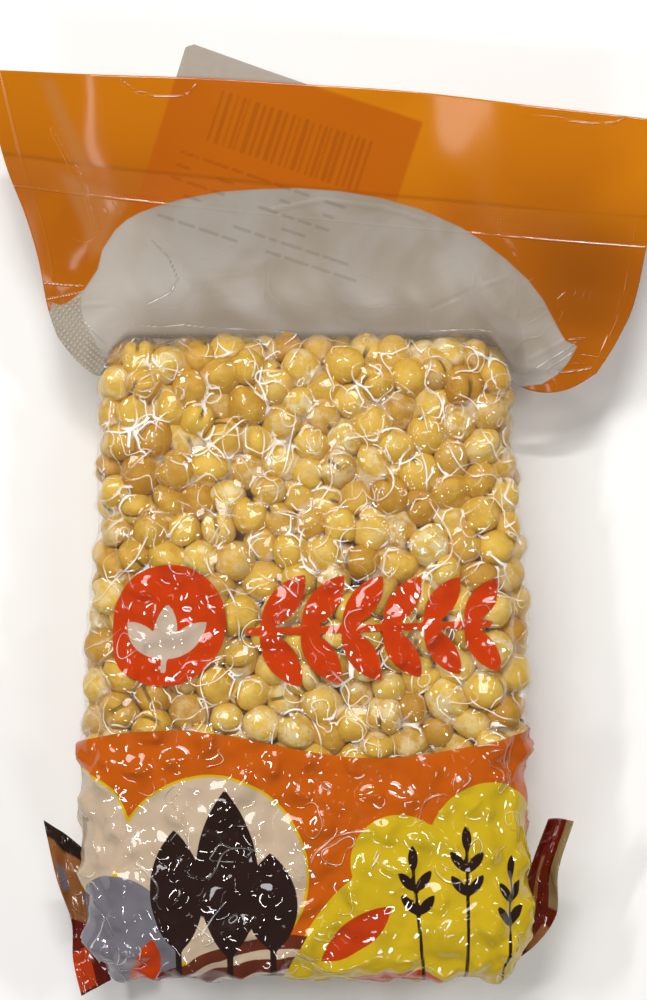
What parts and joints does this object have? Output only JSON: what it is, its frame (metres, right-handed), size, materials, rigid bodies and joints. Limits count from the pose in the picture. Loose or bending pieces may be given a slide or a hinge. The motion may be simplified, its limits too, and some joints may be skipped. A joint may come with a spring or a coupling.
{
  "type": "vacuum-packed bag of roasted chickpeas",
  "caption": "Clear vacuum-sealed pouch of roasted chickpeas, a firm bumpy brick with a wide flat header, two folded corner ears and a paper price label on the back.",
  "frame": {"origin": "centre of the filled brick's flat back, on the surface that the pouch lies on", "axes": "+X to the right as the front is read, +Y from the filled brick to the empty header, +Z out of the printed front"},
  "size_m": [0.177, 0.2516, 0.0428],
  "materials": {
    "chickpeas_in_film": "clear glossy film drawn tight over golden chickpeas",
    "chickpea": "roasted, smooth and slightly powdery",
    "label_paper": "matt"
  },
  "bodies": {
    "root": {"bag": "chickpeas_in_film", "price_label": "label_paper"}
  },
  "joints": []
}
